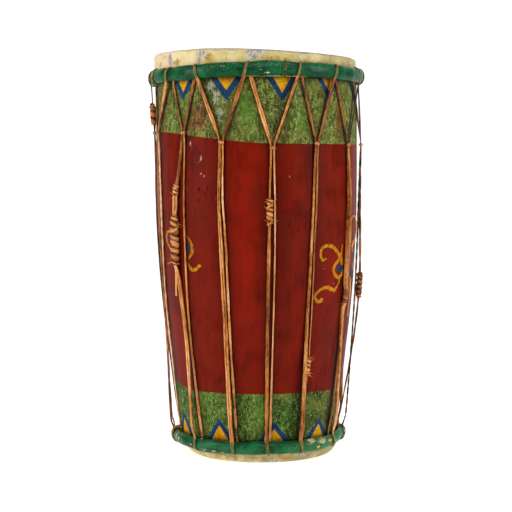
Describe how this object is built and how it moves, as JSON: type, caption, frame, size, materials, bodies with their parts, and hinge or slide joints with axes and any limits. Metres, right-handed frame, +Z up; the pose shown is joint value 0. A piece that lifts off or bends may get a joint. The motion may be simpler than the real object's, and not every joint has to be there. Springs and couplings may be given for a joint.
{
  "type": "ceremonial ritual drum",
  "caption": "Tall tapering wooden drum with a skin head at each end, green hoops and zigzag leather lacing, painted red with green bands and triangles.",
  "frame": {"origin": "centre of the lower head's flat underside, on the surface that the drum stands on", "axes": "+Z up along the drum's height to the upper head, -Y towards the viewer of the picture, +X to that viewer's right"},
  "size_m": [0.3245, 0.3285, 0.6],
  "materials": {
    "painted_wood": "worn red paint with green bands, satin",
    "skin": "stained rawhide",
    "hoop_paint": "glossy green paint, chipped",
    "thong": "dry twisted rawhide thong",
    "fibre": "rough plant fibre"
  },
  "bodies": {
    "root": {"shell": "painted_wood", "top_head": "skin", "bottom_head": "skin", "top_hoop": "hoop_paint", "bottom_hoop": "hoop_paint", "lace_1": "thong", "lace_2": "thong", "lace_3": "thong", "lace_4": "thong", "lace_5": "thong", "lace_6": "thong", "lace_7": "thong", "lace_8": "thong", "lace_tie_01": "fibre", "lace_tie_02": "fibre", "lace_tie_03": "fibre", "lace_tie_04": "fibre", "lace_tie_05": "fibre", "lace_tie_06": "fibre", "lace_tie_07": "fibre", "lace_tie_08": "fibre", "lace_tie_09": "fibre", "lace_tie_10": "fibre", "lace_tie_11": "fibre", "lace_tie_12": "fibre", "lace_tie_13": "fibre", "lace_tie_14": "fibre"}
  },
  "joints": []
}
